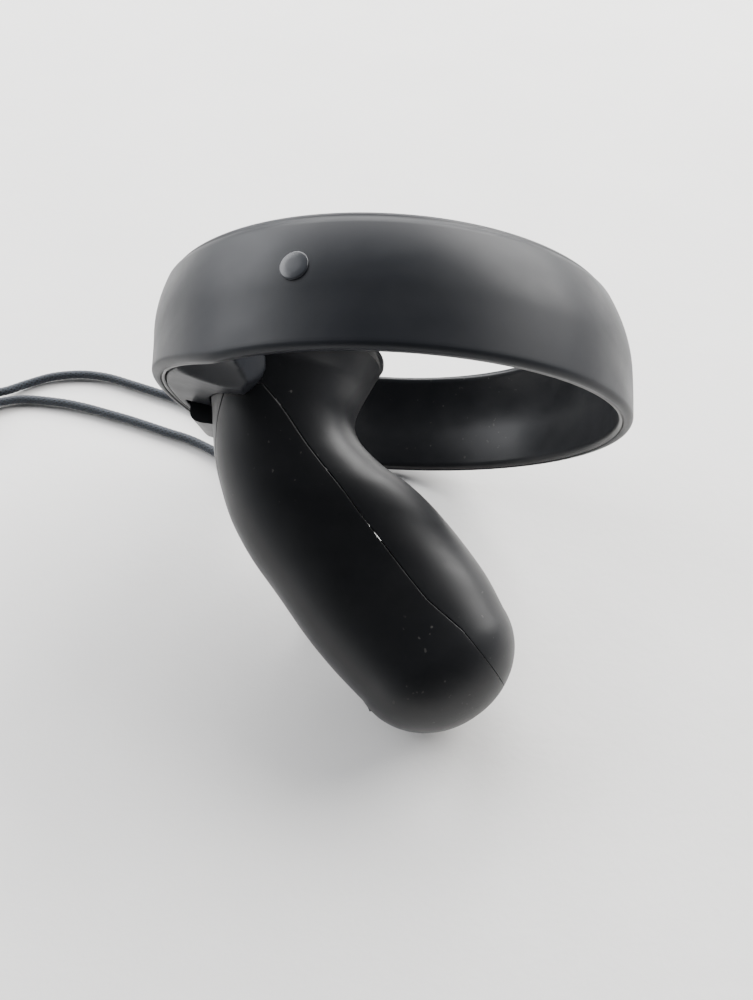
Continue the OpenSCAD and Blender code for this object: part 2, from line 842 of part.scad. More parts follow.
module cord_lock_spring() {
    color("#9a9da2") at_lock() translate([0, lock_back + 1.25, 0]) rotate([-90, 0, 0])
        coil_stack(1.5, 0.2, 3, 0.42);
}

ring_outer_shell();
ring_inner_liner();
ring_bridge();
ring_badge();
ring_flex();
ir_leds();
main_shell();
battery_cover();
face_plate();
stick_collar();
thumbstick_cap();
stick_dome();
stick_shaft();
stick_rocker();
stick_yoke();
stick_housing();
button_upper();
button_lower();
menu_button();
button_mat();
main_board();
chassis();
index_trigger();
trigger_pin();
trigger_spring();
trigger_magnet();
grip_trigger();
grip_pin();
grip_spring();
grip_magnet();
aa_battery();
battery_spring();
battery_contact();
haptic_motor();
antenna();
screws();
lanyard_eyelet();
lanyard_cord();
cord_lock_body();
cord_lock_plunger();
cord_lock_spring();
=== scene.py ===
import json
import math

import bmesh
import bpy
from mathutils import Matrix, Vector


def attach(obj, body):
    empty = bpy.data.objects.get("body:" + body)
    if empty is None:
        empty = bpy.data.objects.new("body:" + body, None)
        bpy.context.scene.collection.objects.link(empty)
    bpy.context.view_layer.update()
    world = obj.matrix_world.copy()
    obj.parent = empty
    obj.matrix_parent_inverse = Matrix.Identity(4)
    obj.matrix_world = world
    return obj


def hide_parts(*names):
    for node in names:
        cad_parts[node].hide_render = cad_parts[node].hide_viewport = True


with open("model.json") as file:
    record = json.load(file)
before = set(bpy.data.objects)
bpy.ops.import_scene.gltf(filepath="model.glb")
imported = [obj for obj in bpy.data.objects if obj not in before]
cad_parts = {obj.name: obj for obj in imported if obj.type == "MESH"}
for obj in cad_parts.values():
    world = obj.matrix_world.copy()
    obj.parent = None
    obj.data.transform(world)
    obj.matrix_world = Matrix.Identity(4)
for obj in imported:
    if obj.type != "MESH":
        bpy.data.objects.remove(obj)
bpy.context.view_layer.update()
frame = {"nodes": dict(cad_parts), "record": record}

MM = 0.001
COLLECTION = bpy.context.scene.collection

# ---- Frames, as in the CAD source ----
# Hold frame, in mm: origin at the centre of the ring's rear rim, X to the controller's right,
# Y to the trigger side, Z along the ring's axis. The part lies on its right side.
LEAN, LIFT, SHIFT_Y = 27, 44.55, 6.35


def turn(angle, axis):
    return Matrix.Rotation(math.radians(angle), 4, axis)


def move(x, y, z):
    return Matrix.Translation((x, y, z))


ROW = Matrix.Scale(MM, 4) @ move(0, SHIFT_Y, LIFT) @ turn(LEAN - 90, "X") @ turn(90, "Z")
PLATE = move(3, 23.1, 17.55) @ turn(9, "X")
CELL = move(6.3, -12, -51.8) @ turn(-6.5, "Y") @ turn(-42.8, "X") @ turn(-26.2, "Z")
END_TURN = 30.6
GRIP = move(3.9, 13, -17.5) @ turn(-36, "X")

# Turns an outline in (y, z) into a prism along X
ALONG_X = Matrix(((0, 0, 1, 0), (1, 0, 0, 0), (0, 1, 0, 0), (0, 0, 0, 1)))

# ---- Camera at the photograph's viewing angle ----
VIEW_FROM = Vector((-177.25, 0.21, -44.08))
VIEW_RIGHT = Vector((0, -0.99827, 0.05872))
VIEW_UP = Vector((-0.15533, 0.05801, 0.98616))
SENSOR, FOCAL = 36, 30.6


def make_camera():
    data = bpy.data.cameras.new("camera")
    data.sensor_fit = "VERTICAL"
    data.sensor_height = SENSOR
    data.lens = FOCAL
    data.clip_start, data.clip_end = 0.01, 20
    cam = bpy.data.objects.new("camera", data)
    back = VIEW_RIGHT.cross(VIEW_UP)
    axes = Matrix((VIEW_RIGHT, VIEW_UP, back)).transposed()
    rot = (ROW.to_3x3() @ axes).normalized()
    cam.matrix_world = Matrix.Translation(ROW @ VIEW_FROM) @ rot.to_4x4()
    COLLECTION.objects.link(cam)
    bpy.context.scene.camera = cam


make_camera()


# ---- Mesh helpers ----
def piece(name, verts, faces, body, replaces, matrix=ROW):
    mesh = bpy.data.meshes.new(name)
    mesh.from_pydata([matrix @ Vector(v) for v in verts], [], faces)
    mesh.validate()
    return dress(mesh, name, body, replaces)


def dress(mesh, name, body, replaces):
    ob = bpy.data.objects.new(name, mesh)
    COLLECTION.objects.link(ob)
    return register(ob, body, replaces)


def register(ob, body, replaces):
    ob.data.shade_smooth()
    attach(ob, body)
    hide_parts(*replaces)
    return ob


def face_outwards(mesh):
    bm = bmesh.new()
    bm.from_mesh(mesh)
    bmesh.ops.recalc_face_normals(bm, faces=bm.faces)
    bm.to_mesh(mesh)
    bm.free()


def lathe(profile, around=96, ripple=None):
    """Closed (radius, z) outline turned round Z; ripple moves a point if given."""
    n = len(profile)
    verts = []
    for j in range(around):
        a = math.tau * j / around
        for r, z in profile:
            p = Vector((r * math.cos(a), r * math.sin(a), z))
            verts.append(ripple(p) if ripple else p)
    faces = []
    for j in range(around):
        k = (j + 1) % around
        for i in range(n):
            m = (i + 1) % n
            faces.append((j * n + i, k * n + i, k * n + m, j * n + m))
    return verts, faces


def capped_lathe(profile, around=96):
    """Open (radius, z) outline from axis to axis turned round Z, closed by fans at both ends."""
    inner = profile[1:-1]
    n = len(inner)
    verts = [Vector((0, 0, profile[0][1])), Vector((0, 0, profile[-1][1]))]
    for j in range(around):
        a = math.tau * j / around
        verts += [Vector((r * math.cos(a), r * math.sin(a), z)) for r, z in inner]
    faces = []
    for j in range(around):
        k = (j + 1) % around
        a, b = 2 + j * n, 2 + k * n
        faces.append((0, b, a))
        faces.append((1, a + n - 1, b + n - 1))
        faces += [(a + i, b + i, b + i + 1, a + i + 1) for i in range(n - 1)]
    return verts, faces


def rounded(points, radius, steps=5):
    """Outline with each corner replaced by a smooth curve of about the given radius."""
    out = []
    n = len(points)
    for i, p in enumerate(points):
        p = Vector(p)
        a, b = Vector(points[i - 1]), Vector(points[(i + 1) % n])
        ra = min(radius, (a - p).length * 0.45)
        rb = min(radius, (b - p).length * 0.45)
        start, end = p + (a - p).normalized() * ra, p + (b - p).normalized() * rb
        for s in range(steps + 1):
            t = s / steps
            out.append(start * (1 - t) ** 2 + p * 2 * t * (1 - t) + end * t * t)
    return [tuple(q) for q in out]


# ---- Cord: its route repeats the CAD's, in mm before the shift ----
CORD_Z, LOCK_Z = 1.3, 3.2
CORD_R = 1.25
ROUTE = [
    (-7.7, -23.1, 12.4), (-8.6, -22.3, 9.7), (-9.8, -21.2, 6.1), (-11.5, -19.2, 3),
    (-14.5, -15.5, CORD_Z), (-19, -8.5, CORD_Z), (-24, 0, CORD_Z), (-29.5, 9, CORD_Z),
    (-36, 19, CORD_Z), (-43, 29, CORD_Z), (-51, 37.5, CORD_Z), (-59.5, 42.3, CORD_Z),
    (-67, 45, CORD_Z), (-75, 47.6, CORD_Z), (-82.5, 49.8, CORD_Z), (-90, 50.4, CORD_Z),
    (-98, 48.9, CORD_Z), (-104.5, 45.6, CORD_Z), (-110, 41.6, 1.9), (-115.5, 38.9, LOCK_Z),
    (-122, 38.35, LOCK_Z), (-128.5, 38.4, LOCK_Z), (-134, 39.6, 1.9), (-140, 42.5, CORD_Z),
    (-148, 46, CORD_Z), (-157, 48, CORD_Z), (-166, 47, CORD_Z), (-172.5, 42.5, CORD_Z),
    (-175, 37, CORD_Z), (-172.5, 31.5, CORD_Z), (-166, 27, CORD_Z), (-157, 26, CORD_Z),
    (-148, 28, CORD_Z), (-140, 31.5, CORD_Z), (-134, 34.4, 1.9), (-128.5, 35.6, LOCK_Z),
    (-122, 35.65, LOCK_Z), (-115.5, 35.9, LOCK_Z), (-110.5, 37.4, 1.9), (-104, 39.6, CORD_Z),
    (-94, 39.2, CORD_Z), (-86.7, 38, CORD_Z), (-79, 36, CORD_Z), (-71.6, 33.9, CORD_Z),
    (-61.6, 30.6, CORD_Z), (-54.3, 28.2, CORD_Z), (-47, 24.4, CORD_Z), (-41, 19.3, CORD_Z),
    (-37, 12.5, CORD_Z), (-30.5, 5, CORD_Z), (-25.5, -4, CORD_Z), (-21, -12, CORD_Z),
    (-16.8, -18.8, CORD_Z), (-14, -22.2, 3), (-12.3, -24.1, 6.1), (-11.1, -25.2, 9.7),
    (-10.2, -26, 12.4),
]
BRAID_STRANDS = 6
BRAID_PITCH = 9.0
BRAID_CORE, BRAID_RISE = CORD_R - 0.1, 0.07
CORD_STEPS, CORD_AROUND = 24, 20


def spline(a, b, c, d, t):
    return 0.5 * (
        2 * b + (c - a) * t + (2 * a - 5 * b + 4 * c - d) * t * t
        + (3 * b - a - 3 * c + d) * t * t * t
    )


def smooth_line(points, steps):
    pts = [Vector(p) for p in points]
    last = len(pts) - 1
    line = []
    for i in range(last):
        a, b = pts[max(i - 1, 0)], pts[i]
        c, d = pts[i + 1], pts[min(i + 2, last)]
        line += [spline(a, b, c, d, s / steps) for s in range(steps)]
    return line + [pts[-1]]


def close_turn(uvs):
    """Lets a face that crosses the end of a turn run on into the next one."""
    us = [uv.x for uv in uvs]
    if max(us) - min(us) > 0.5:
        for uv in uvs:
            if uv.x < 0.5:
                uv.x += 1


def make_cord():
    line = smooth_line(ROUTE, CORD_STEPS)
    around = CORD_AROUND
    verts, faces, uvs = [], [], []
    run = 0
    for i, p in enumerate(line):
        if i:
            run += (p - line[i - 1]).length
        along = (line[min(i + 1, len(line) - 1)] - line[max(i - 1, 0)]).normalized()
        side = Vector((0, 0, 1)).cross(along).normalized()
        up = along.cross(side)
        for j in range(around):
            a = math.tau * j / around
            phase = math.tau * run / BRAID_PITCH
            left = math.sin(BRAID_STRANDS * a + BRAID_STRANDS * phase)
            right = math.sin(BRAID_STRANDS * a - BRAID_STRANDS * phase)
            r = BRAID_CORE + BRAID_RISE * max(left, right)
            verts.append(p + r * (math.cos(a) * side + math.sin(a) * up))
            uvs.append((a / math.tau, run / BRAID_PITCH))
    n = len(line)
    for i in range(n - 1):
        for j in range(around):
            a, b = i * around + j, i * around + (j + 1) % around
            faces.append((a, a + around, b + around, b))
    faces.append(tuple(range(around)))
    faces.append(tuple((n - 1) * around + j for j in range(around - 1, -1, -1)))
    shift = Matrix.Scale(MM, 4) @ move(0, SHIFT_Y, 0)
    ob = piece("lanyard_braid", verts, faces, "casing", ["lanyard_cord"], shift)
    layer = ob.data.uv_layers.new(name="braid")
    for poly in ob.data.polygons:
        for k in poly.loop_indices:
            v = ob.data.loops[k].vertex_index
            layer.data[k].uv = uvs[v]
        close_turn([layer.data[k].uv for k in poly.loop_indices])
    return ob


cord_piece = make_cord()

# ---- Handle body ----
# The CAD's lofted sections, in mm: back y and z, front y and z, middle x, half width
SECTIONS = [
    (2, 14.2, 44.2, 20.9, 3, 21), (5.6, 7, 41.5, 12, 2.8, 18.7),
    (7.4, 2.3, 38.6, 3.5, 2.5, 17), (7.3, -1.5, 37.5, -4, 2.4, 16.2),
    (5.2, -5, 36.5, -10.5, 2.8, 16), (0.5, -9, 34.5, -17, 3.4, 16),
    (-4.8, -12.2, 32, -23, 4, 16), (-9.4, -15.8, 27.6, -30, 4.8, 16),
    (-13.8, -20.1, 21.4, -37.6, 5.6, 16), (-18.4, -25.2, 15, -45.6, 6.4, 16),
    (-22.8, -30.8, 8.8, -52.2, 7, 16), (-26.4, -37, 2.3, -58.1, 7.2, 16),
]
SECTION_POWER = 2.4
END_DEPTH = 15.7
WALL = 2.2
SHELL_WALL, PADDLE_WALL = 1.9, 2.1
# The neck flares into the head by this power, and the head's rim is rounded
LIP_POWER, LIP_ROUND, LIP_STEPS = 4, 0.2, 5
# Half width and half depth of the head at its rim
HEAD_RX, HEAD_RY = 21, 21.36
PLATE_GAP = 0.1


def soft_power(v):
    return math.copysign(abs(v) ** (2 / SECTION_POWER), v)


def section_ring(section, inset, around, scale=1.0, drop=0.0):
    """Points round a section, inset from its edge, scaled, and moved down the handle by drop."""
    back_y, back_z, front_y, front_z, mid_x, half_x = section
    my, mz = (back_y + front_y) / 2, (back_z + front_z) / 2
    hy, hz = (front_y - back_y) / 2, (front_z - back_z) / 2
    half = math.hypot(hy, hz)
    k = (half - inset) / half * scale
    ny, nz = hz / half, -hy / half
    ring = []
    for j in range(around):
        a = math.tau * j / around
        u, v = soft_power(math.cos(a)), soft_power(math.sin(a))
        ring.append(Vector((
            mid_x + (half_x - inset) * scale * u,
            my + hy * k * v + ny * drop,
            mz + hz * k * v + nz * drop,
        )))
    return ring


def body_rings(inset=0.0, around=192, between=9, end_steps=26, lip=0.0):
    """Rings of points from the lip to the rounded end's pole; lip rounds the upper edge."""
    secs = [Vector(s) for s in SECTIONS]
    last = len(secs) - 1
    rings = []
    if lip:
        for k in range(LIP_STEPS, 0, -1):
            t = math.radians(90 * k / LIP_STEPS)
            rings.append(section_ring(
                secs[0], inset + lip * (1 - math.cos(t)), around, 1, -lip * math.sin(t)))
    for i in range(last):
        a, d = secs[max(i - 1, 0)], secs[min(i + 2, last)]
        for k in range(between):
            s = spline(a, secs[i], secs[i + 1], d, k / between)
            if i == 0:
                s[5] = secs[1][5] + (secs[0][5] - secs[1][5]) * (1 - k / between) ** LIP_POWER
            rings.append(section_ring(s, inset, around))
    rings.append(section_ring(secs[last], inset, around))
    for k in range(1, end_steps):
        t = math.radians(90 * k / end_steps)
        rings.append(section_ring(
            secs[last], inset, around, math.cos(t), (END_DEPTH - inset) * math.sin(t)))
    return rings


def body_bmesh(inset=0.0, closed=False, **detail):
    rings = body_rings(inset, **detail)
    around = len(rings[0])
    bm = bmesh.new()
    rows = [[bm.verts.new(p) for p in ring] for ring in rings]
    for up, down in zip(rows, rows[1:]):
        for j in range(around):
            k = (j + 1) % around
            bm.faces.new((up[j], up[k], down[k], down[j]))
    bm.faces.new(rows[-1])
    if closed:
        bm.faces.new(rows[0][::-1])
    bmesh.ops.recalc_face_normals(bm, faces=bm.faces)
    return bm


class Plane:
    """Half-space kept where inside(p) is positive, in mm from the plane."""

    def __init__(self, matrix, point, normal):
        rot = matrix.to_3x3()
        self.normal = (rot @ Vector(normal)).normalized()
        self.point = matrix @ Vector(point)

    def inside(self, p):
        return -(p - self.point).dot(self.normal)


def box_planes(matrix, low, high):
    low, high = Vector(low), Vector(high)
    planes = []
    for axis in range(3):
        n = Vector((0, 0, 0))
        n[axis] = 1
        planes += [Plane(matrix, high, n), Plane(matrix, low, -n)]
    return planes


# The cover lies left of the long seam and takes in most of the handle's end
HOLD = Matrix.Identity(4)
SEAM_X = -7.9
SEAM = Plane(CELL, (SEAM_X, 0, 0), (1, 0, 0))
COVER_TOP = Plane(move(0, 31, 4) @ turn(6, "X"), (0, 0, 0), (0, 0, 1))
END = CELL @ turn(END_TURN, "Z")
END_X, END_Y, END_TOP = 6.5, -9.8, 4.2
END_PLANES = [
    Plane(END, (END_X, 0, 0), (1, 0, 0)), Plane(END, (0, END_Y, 0), (0, -1, 0)),
    Plane(END, (0, 0, END_TOP), (0, 0, 1)),
]
# A slanting plane lets the long seam run into the end's seam without a step
JOIN_Y, JOIN_TOP, JOIN_SLOPE = -10, 14, 12
JOIN_PLANES = [
    END_PLANES[1], Plane(CELL, (SEAM_X, 0, JOIN_TOP), (JOIN_SLOPE, 0, 1)),
    Plane(CELL, (0, JOIN_Y, 0), (0, 1, 0)),
]
SLOT_X, SLOT_Y, SLOT_Z = (3.5, 18.9), (20, 44.9), (-17.6, 12.4)
OUTSIDE_X, OUTSIDE_Y = 40, 60
SLOT_LOW = (SLOT_X[0], SLOT_Y[0], SLOT_Z[0])
SLOT_PLANES = box_planes(HOLD, SLOT_LOW, (SLOT_X[1], OUTSIDE_Y, SLOT_Z[1]))
GRIP_PLANES = box_planes(GRIP, (7.5, -7.5, -11.5), (OUTSIDE_X, 12.5, 9.5))
GRIP_LID_PLANES = box_planes(GRIP, (7.5, -7, -11), (OUTSIDE_X, 12, 9))


def box_depth(planes, p):
    """How far p is inside all the planes, in mm."""
    return min(q.inside(p) for q in planes)


def cover_depth(p):
    """How far p is inside the cover's outline, in mm."""
    low_end = max(box_depth(END_PLANES, p), box_depth(JOIN_PLANES, p))
    return min(COVER_TOP.inside(p), max(SEAM.inside(p), low_end))


def shell_depth(p):
    """How far p is inside the main shell's outline, in mm."""
    return min(-cover_depth(p), -box_depth(SLOT_PLANES, p), -box_depth(GRIP_PLANES, p))


EDGE_R = 0.12
SEAM_HALF = 0.045
# Where loops are cut across a rounded edge, as shares of its radius
EDGE_LOOPS = (0, 0.06, 0.2, 0.42, 0.7, 1.0)


def cut_shell(bm, depth, planes, half, edge_r=EDGE_R):
    """Keeps the part of a surface where depth(p) > half, its border rounded over by edge_r."""
    steps = [half + edge_r * t for t in EDGE_LOOPS]
    for q in planes:
        for side in (1, -1):
            for s in steps:
                bmesh.ops.bisect_plane(
                    bm, geom=bm.verts[:] + bm.edges[:] + bm.faces[:], dist=1e-5,
                    plane_co=q.point + q.normal * side * s, plane_no=q.normal)
    gone = [f for f in bm.faces if depth(f.calc_center_median()) < half * 0.98]
    bmesh.ops.delete(bm, geom=gone, context="FACES")
    bm.normal_update()
    moved = []
    for v in bm.verts:
        d = depth(v.co) - half
        if d < edge_r:
            x = 1 - max(d, 0) / edge_r
            moved.append((v, v.normal * -(edge_r * (1 - math.sqrt(max(1 - x * x, 0))))))
    for v, by in moved:
        v.co += by


def thicken(bm, wall):
    """Adds an inner wall and rims, so that the surface becomes a closed shell."""
    bm.normal_update()
    inner = {v: bm.verts.new(v.co - v.normal * wall) for v in bm.verts[:]}
    edges = [e for e in bm.edges[:] if len(e.link_faces) == 1]
    rims = []
    for e in edges:
        loop = e.link_loops[0]
        a, b = loop.vert, loop.link_loop_next.vert
        rims.append((b, a, inner[a], inner[b]))
    for f in bm.faces[:]:
        bm.faces.new([inner[v] for v in reversed(f.verts)])
    for quad in rims:
        bm.faces.new(quad)


def finish_shell(bm, name, body, replaces, wall):
    thicken(bm, wall)
    bmesh.ops.transform(bm, matrix=ROW, verts=bm.verts)
    mesh = bpy.data.meshes.new(name)
    bm.to_mesh(mesh)
    bm.free()
    return dress(mesh, name, body, replaces)


def make_shells():
    bm = body_bmesh(lip=LIP_ROUND)
    seams = [SEAM, COVER_TOP, JOIN_PLANES[1]] + END_PLANES
    openings = SLOT_PLANES[:2] + SLOT_PLANES[3:] + GRIP_PLANES[1:]
    cut_shell(bm, shell_depth, seams + openings, SEAM_HALF)
    shell = finish_shell(bm, "handle_shell", "casing", ["main_shell"], SHELL_WALL)
    bm = body_bmesh()
    cut_shell(bm, cover_depth, seams, SEAM_HALF)
    cover = finish_shell(
        bm, "handle_cover", "battery_cover", ["battery_cover"], SHELL_WALL)
    return shell, cover


shell_piece, cover_piece = make_shells()

# ---- Ring ----
RING_R, RING_W, RING_DRAW, RING_STRAIGHT = 50.0, 24.6, 3.25, 10.3
FRONT_SHIFT = 1.7
RIM_LIFT_Y, RIM_LIFT, RIM_BLEND = 30.0, 0.3, 3
BAND_RIM, RIM_STEPS = 1.15, 6
BAND_OVERLAP = 0.06
RING_AROUND = 320
LINER_RIM, LINER_ROUND, LINER_LEVELS = 0.25, 0.1, 30
LINER_DEPTH = 1.95
LINER_T = 1.0


def band_r(z):
    t = max(z - RING_STRAIGHT, 0) / (RING_W - RING_STRAIGHT)
    return RING_R - RING_DRAW * t * t


def ring_form(p):
    """Moves the front rim towards the trigger side and lifts the rear rim there."""
    t = min(max(p.z / RING_W, 0), 1)
    rise = max(p.y - RIM_LIFT_Y, 0)
    z = p.z + (1 - t) * RIM_LIFT * rise * rise / (rise + RIM_BLEND)
    return Vector((p.x, p.y + FRONT_SHIFT * t * t, z))


def band_outline(outer, inner, low, high, rim, levels=28):
    """Closed outline of a band between two depths, its outer corners rounded by rim."""
    zs = [low + (high - low) * k / levels for k in range(levels + 1)]
    pts = []
    for k in range(RIM_STEPS + 1):
        a = math.radians(90 * k / RIM_STEPS)
        r = band_r(low) - outer - rim * (1 - math.sin(a))
        pts.append((r, low + rim * (1 - math.cos(a))))
    pts += [(band_r(z) - outer, z) for z in zs if low + rim * 1.1 < z < high - rim * 1.1]
    for k in range(RIM_STEPS + 1):
        a = math.radians(90 * k / RIM_STEPS)
        r = band_r(high) - outer - rim * (1 - math.cos(a))
        pts.append((r, high - rim * (1 - math.sin(a))))
    pts += [(band_r(z) - inner, z) for z in reversed(zs)]
    return pts


def make_ring():
    outline = band_outline(0, LINER_DEPTH - BAND_OVERLAP, 0, RING_W, BAND_RIM)
    verts, faces = lathe(outline, RING_AROUND, ring_form)
    outer = piece("ring_band", verts, faces, "casing", ["ring_outer_shell"])
    low, high = LINER_RIM, RING_W - LINER_RIM
    zs = [low + (high - low) * k / LINER_LEVELS for k in range(LINER_LEVELS + 1)]
    profile = [(band_r(z) - LINER_DEPTH, z) for z in zs]
    profile += [(band_r(high) - LINER_DEPTH - LINER_T / 2, high + LINER_ROUND)]
    profile += [(band_r(z) - LINER_DEPTH - LINER_T, z) for z in reversed(zs[1:-1])]
    profile += [(band_r(low) - LINER_DEPTH - LINER_T / 2, low - LINER_ROUND)]
    verts, faces = lathe(profile, RING_AROUND, ring_form)
    liner = piece("ring_liner", verts, faces, "casing", ["ring_inner_liner"])
    for ob in (outer, liner):
        face_outwards(ob.data)
    return outer, liner


ring_piece, liner_piece = make_ring()

# ---- Plain dot on the band ----
BADGE_ANGLE, BADGE_Z, BADGE_R = 160, 14, 2.6
BADGE_SINK, BADGE_LEAN = 0.2, 83.3


def make_badge():
    at_ring = move(band_r(BADGE_Z) - BADGE_SINK, 0, BADGE_Z)
    place = turn(BADGE_ANGLE, "Z") @ at_ring @ turn(BADGE_LEAN, "Y")
    profile = [(0, 0), (BADGE_R, 0), (BADGE_R, 0.42), (2.52, 0.52), (2.3, 0.58), (1.2, 0.62), (0, 0.63)]
    verts, faces = capped_lathe(profile, 64)
    ob = piece("ring_dot", verts, faces, "casing", ["ring_badge"], ROW @ place)
    face_outwards(ob.data)
    return ob


badge_piece = make_badge()


# ---- Bridge between ring and head, rounded by a remesh ----
def loose_object(mesh):
    ob = bpy.data.objects.new(mesh.name, mesh)
    COLLECTION.objects.link(ob)
    return ob


def temp_object(name, verts, faces, matrix=ROW):
    mesh = bpy.data.meshes.new(name)
    mesh.from_pydata([matrix @ Vector(v) for v in verts], [], faces)
    face_outwards(mesh)
    return loose_object(mesh)


def prism(outline, low, high):
    n = len(outline)
    verts = [(x, y, low) for x, y in outline] + [(x, y, high) for x, y in outline]
    faces = [tuple(range(n))[::-1], tuple(range(n, 2 * n))]
    faces += [(i, (i + 1) % n, n + (i + 1) % n, n + i) for i in range(n)]
    return verts, faces


def circle(cx, cy, r, count=96):
    return [(cx + r * math.cos(math.tau * k / count), cy + r * math.sin(math.tau * k / count))
            for k in range(count)]


def ball(c, r, count=48):
    profile = [(r * math.cos(math.radians(a)), r * math.sin(math.radians(a)))
               for a in range(-90, 91, 5)]
    profile[0], profile[-1] = (0, -r), (0, r)
    verts, faces = capped_lathe(profile, count)
    return [v + Vector(c) for v in verts], faces


def baked(ob):
    deps = bpy.context.evaluated_depsgraph_get()
    mesh = bpy.data.meshes.new_from_object(ob.evaluated_get(deps))
    ob.modifiers.clear()
    ob.data = mesh
    return ob


def boolean(ob, tool, kind="DIFFERENCE"):
    """Cuts ob by the tool, or joins them, and removes the tool."""
    mod = ob.modifiers.new("cut", "BOOLEAN")
    mod.object = tool
    mod.operation = kind
    mod.solver = "EXACT"
    baked(ob)
    bpy.data.objects.remove(tool)


BRIDGE_TOP, BRIDGE_HALF, BRIDGE_INNER = 22.0, 50, 24.0
BRIDGE_OUTER = LINER_DEPTH + LINER_T + 0.02
BRIDGE_LEVELS, BRIDGE_STEPS = 16, 60
BODY_GAP = 0.12
HEAD_ROOM = (0, -0.9, 6)
FILLETS = [(-27, 13, 16.5), (33, 13, 16)]
DISH, DISH_R = (-26, 33, -8), 13
ARCH_Y, ARCH_Z, ARCH_R = 34, 9.4, 9.6
ARCH_BACK, ARCH_LOW = 4, -21
VOXEL, SOFTEN_ROUNDS = 0.00042, 7


def bridge_wedge():
    """Ring sector from the liner inwards, before anything is cut from it."""
    zs = [k * BRIDGE_TOP / BRIDGE_LEVELS for k in range(BRIDGE_LEVELS + 1)]
    profile = [(BRIDGE_INNER, 0)]
    profile += [(band_r(z) - BRIDGE_OUTER, z) for z in zs]
    profile += [(BRIDGE_INNER, BRIDGE_TOP)]
    n = len(profile)
    verts = []
    for j in range(BRIDGE_STEPS + 1):
        a = math.radians(90 - BRIDGE_HALF + 2 * BRIDGE_HALF * j / BRIDGE_STEPS)
        verts += [ring_form(Vector((r * math.cos(a), r * math.sin(a), z))) for r, z in profile]
    faces = [tuple(range(n))[::-1], tuple(BRIDGE_STEPS * n + i for i in range(n))]
    for j in range(BRIDGE_STEPS):
        for i in range(n):
            m = (i + 1) % n
            faces.append((j * n + i, (j + 1) * n + i, (j + 1) * n + m, j * n + m))
    return temp_object("ring_bridge_skin", verts, faces)


def body_tool():
    """The handle's body as a solid, with the room above the head added."""
    bm = body_bmesh(-BODY_GAP, closed=True, around=96, between=4, end_steps=8)
    lids = [f for f in bm.faces if len(f.verts) > 4]
    top = max(lids, key=lambda f: f.calc_center_median().z)
    grown = bmesh.ops.extrude_face_region(bm, geom=[top])
    lift = [g for g in grown["geom"] if isinstance(g, bmesh.types.BMVert)]
    bmesh.ops.translate(bm, vec=HEAD_ROOM, verts=lift)
    bmesh.ops.delete(bm, geom=[top], context="FACES")
    bmesh.ops.transform(bm, matrix=ROW, verts=bm.verts)
    bmesh.ops.recalc_face_normals(bm, faces=bm.faces)
    mesh = bpy.data.meshes.new("tool")
    bm.to_mesh(mesh)
    bm.free()
    return loose_object(mesh)


def arch_outline():
    """What is left outside a quarter arch."""
    turns = [math.radians(a) for a in range(0, 91, 5)]
    arc = [(ARCH_Y - ARCH_R * math.cos(a), ARCH_Z - ARCH_R * math.sin(a)) for a in turns]
    return arc + [(ARCH_Y, ARCH_LOW), (ARCH_BACK, ARCH_LOW), (ARCH_BACK, ARCH_Z)]


def keep_largest(mesh):
    bm = bmesh.new()
    bm.from_mesh(mesh)
    for part in sorted(loose_parts(bm), key=len)[:-1]:
        bmesh.ops.delete(bm, geom=part, context="VERTS")
    bm.to_mesh(mesh)
    bm.free()


def make_bridge():
    ob = bridge_wedge()
    boolean(ob, body_tool())
    cuts = [prism(circle(*fillet), -1, 30) for fillet in FILLETS] + [ball(DISH, DISH_R)]
    for verts, faces in cuts:
        boolean(ob, temp_object("tool", verts, faces))
    verts, faces = prism(arch_outline(), -45, 45)
    boolean(ob, temp_object("tool", verts, faces, ROW @ ALONG_X))
    low, high = SLOT_Y
    slot = [(SLOT_X[0], low), (SLOT_X[1], low), (SLOT_X[1], high), (SLOT_X[0], high)]
    verts, faces = prism(slot, *SLOT_Z)
    boolean(ob, temp_object("tool", verts, faces))
    mod = ob.modifiers.new("remesh", "REMESH")
    mod.mode = "VOXEL"
    mod.voxel_size = VOXEL
    mod = ob.modifiers.new("soften", "SMOOTH")
    mod.factor = 0.5
    mod.iterations = SOFTEN_ROUNDS
    baked(ob)
    keep_largest(ob.data)
    ob.name = "ring_bridge_form"
    return register(ob, "casing", ["ring_bridge"])


def loose_parts(bm):
    """Lists of the vertices that hang together."""
    seen, parts = set(), []
    for v in bm.verts:
        if v in seen:
            continue
        stack, part = [v], []
        seen.add(v)
        while stack:
            u = stack.pop()
            part.append(u)
            for e in u.link_edges:
                w = e.other_vert(u)
                if w not in seen:
                    seen.add(w)
                    stack.append(w)
        parts.append(part)
    return parts


bridge_piece = make_bridge()

# ---- Triggers ----
TRIGGER_SIDE = [
    (36, 8.4), (39, 8.2), (42.2, 6.4), (43.8, 3.6), (44, 1.4), (43.2, -0.2), (41.4, -0.8),
    (38.6, -0.9), (37.2, -1.6), (36.8, -4), (36, -9), (35.2, -12.2), (34, -12.8), (33.4, -11),
    (34, -6), (34, 0), (34, 4),
]
TRIGGER_HUB = [(29.5, 6.3), (31, 10.5), (37.5, 8.2), (38, 0), (34.2, 0)]
TRIGGER_X, HUB_X = (3.9, 18.5), (6.4, 14.6)
TRIGGER_REACH = 46.4
GRIP_PROUD = 0.9


def soften(ob, width, segments=4, angle=28):
    mod = ob.modifiers.new("edges", "BEVEL")
    mod.width = width * MM
    mod.segments = segments
    mod.limit_method = "ANGLE"
    mod.angle_limit = math.radians(angle)
    mod.harden_normals = True
    return ob


